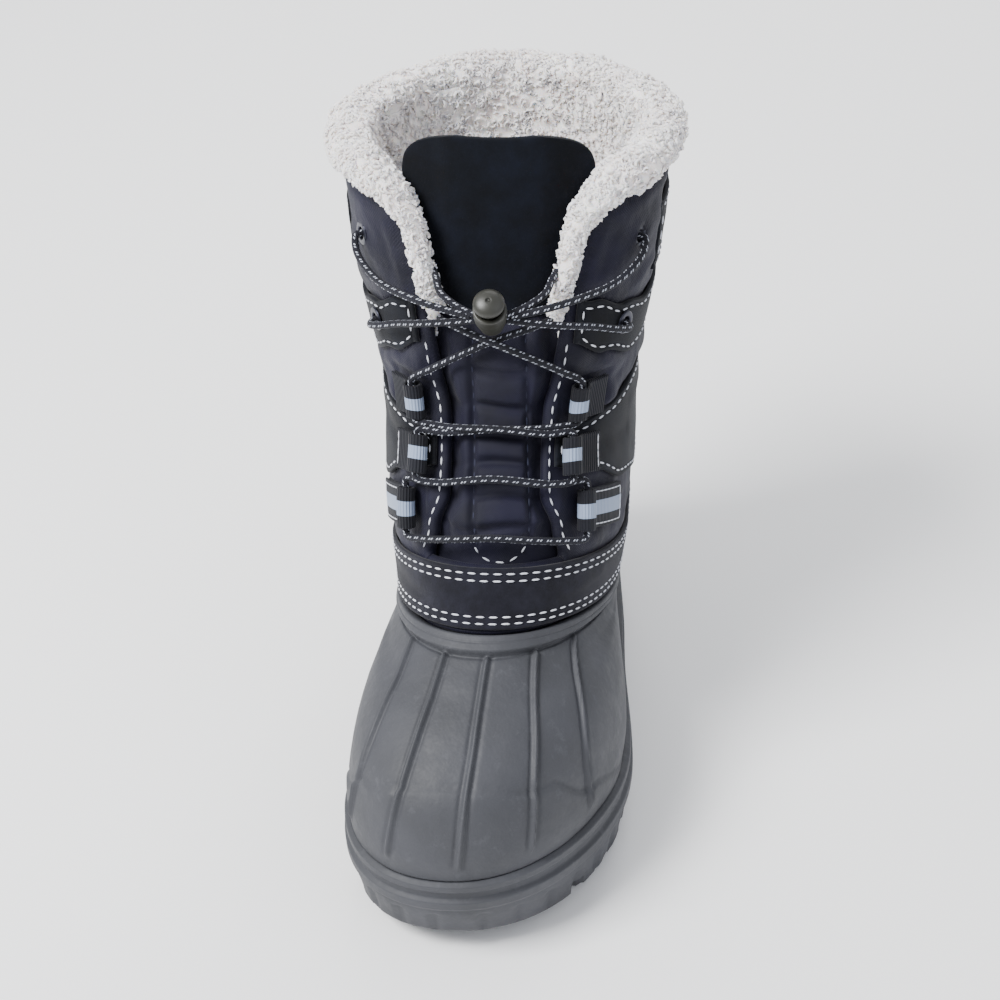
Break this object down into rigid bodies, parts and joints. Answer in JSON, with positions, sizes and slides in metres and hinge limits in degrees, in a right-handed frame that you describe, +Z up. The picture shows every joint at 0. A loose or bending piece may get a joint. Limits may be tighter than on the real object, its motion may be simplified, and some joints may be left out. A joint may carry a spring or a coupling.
{
  "type": "snow boot",
  "caption": "Left winter boot with a moulded rubber lower, padded textile shaft, pile collar, webbing loops and an elastic cord with a lock.",
  "frame": {"origin": "on the ground, in the middle of the boot's bounds", "axes": "+Y runs along the boot to the heel, -Y to the toe; +X is the lateral side and +Z is up"},
  "size_m": [0.1266, 0.2492, 0.2316],
  "materials": {
    "rubber": "matt",
    "felt": "matt",
    "nylon": "matt",
    "suede": "matt",
    "nubuck": "matt",
    "fleece": "fluffy",
    "cord": "woven",
    "plastic": "satin",
    "eyelet_metal": "satin",
    "webbing": "woven"
  },
  "bodies": {
    "boot": {"ankle_strap": "nubuck", "back_panel": "nubuck", "collar_band": "nubuck", "cord_lock": "plastic", "eyelet_high_lateral": "eyelet_metal", "eyelet_high_medial": "eyelet_metal", "eyelet_low_lateral": "eyelet_metal", "eyelet_low_medial": "eyelet_metal", "fleece_collar": "fleece", "insole": "felt", "lace_lower": "cord", "lace_upper_lateral": "cord", "lace_upper_medial": "cord", "loop_high_lateral": "webbing", "loop_high_medial": "webbing", "loop_low_lateral": "webbing", "loop_low_medial": "webbing", "loop_middle_lateral": "webbing", "loop_middle_medial": "webbing", "outsole": "rubber", "shaft": "nylon", "shell": "rubber", "tongue": "nylon", "vamp_band": "suede"},
    "button": {"lock_button": "plastic"}
  },
  "joints": [
    {"name": "button_press", "type": "slide", "parent": "boot", "child": "button", "axis": [-0.0301, 0.5521, -0.8332], "range_m": [0, 0.003], "stiffness_N_per_m": 800, "springref_m": -0.003}
  ]
}
